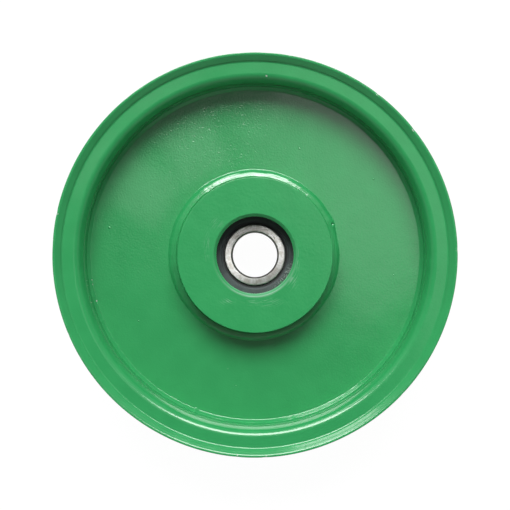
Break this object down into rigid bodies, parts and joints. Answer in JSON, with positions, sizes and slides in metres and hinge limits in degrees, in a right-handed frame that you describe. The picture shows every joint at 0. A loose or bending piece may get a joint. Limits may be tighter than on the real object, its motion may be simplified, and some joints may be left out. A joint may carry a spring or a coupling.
{
  "type": "idler pulley",
  "caption": "Flat belt idler pulley: painted steel rim with flared flanges, flat web and thick welded hub, turning on a sealed ball bearing with a plain through bore.",
  "frame": {"origin": "centre of the bearing's bore, which is also the middle of the drum", "axes": "+Z along the bore axis, out of the narrow hub mouth; the pulley lies on its rear lip with the mouth up"},
  "size_m": [0.175, 0.175, 0.044],
  "materials": {
    "rim_paint": "gloss green paint, chipped along the lip",
    "web_paint": "gloss green paint over a rough plate",
    "hub_paint": "gloss green paint over a turned face",
    "weld_paint": "gloss green paint over weld beads",
    "ring_steel": "ground bearing steel",
    "ball_steel": "polished bearing steel",
    "cage_steel": "pressed sheet steel",
    "seal_rubber": "matt black rubber",
    "spring_steel": "dark phosphated spring steel"
  },
  "bodies": {
    "inner": {"bearing_inner_ring": "ring_steel"},
    "pulley": {"rim": "rim_paint", "web_disc": "web_paint", "rim_weld_front": "weld_paint", "rim_weld_rear": "weld_paint", "hub": "hub_paint", "hub_weld_front": "weld_paint", "hub_weld_rear": "weld_paint", "bearing_outer_ring": "ring_steel", "seal_front": "seal_rubber", "seal_rear": "seal_rubber", "snap_ring": "spring_steel"},
    "cage": {"cage_front": "cage_steel", "cage_rear": "cage_steel", "cage_rivets": "cage_steel", "ball_1": "ball_steel", "ball_2": "ball_steel", "ball_3": "ball_steel", "ball_4": "ball_steel", "ball_5": "ball_steel", "ball_6": "ball_steel", "ball_7": "ball_steel", "ball_8": "ball_steel"}
  },
  "joints": [
    {"name": "pulley_spin", "type": "hinge", "parent": "inner", "child": "pulley", "pos_m": [0, 0, 0], "axis": [0, 0, 1], "continuous": true},
    {"name": "cage_orbit", "type": "hinge", "parent": "inner", "child": "cage", "pos_m": [0, 0, 0], "axis": [0, 0, 1], "continuous": true}
  ],
  "couplings": [
    {"joint": "cage_orbit", "follows": "pulley_spin", "ratio": 0.61848}
  ]
}
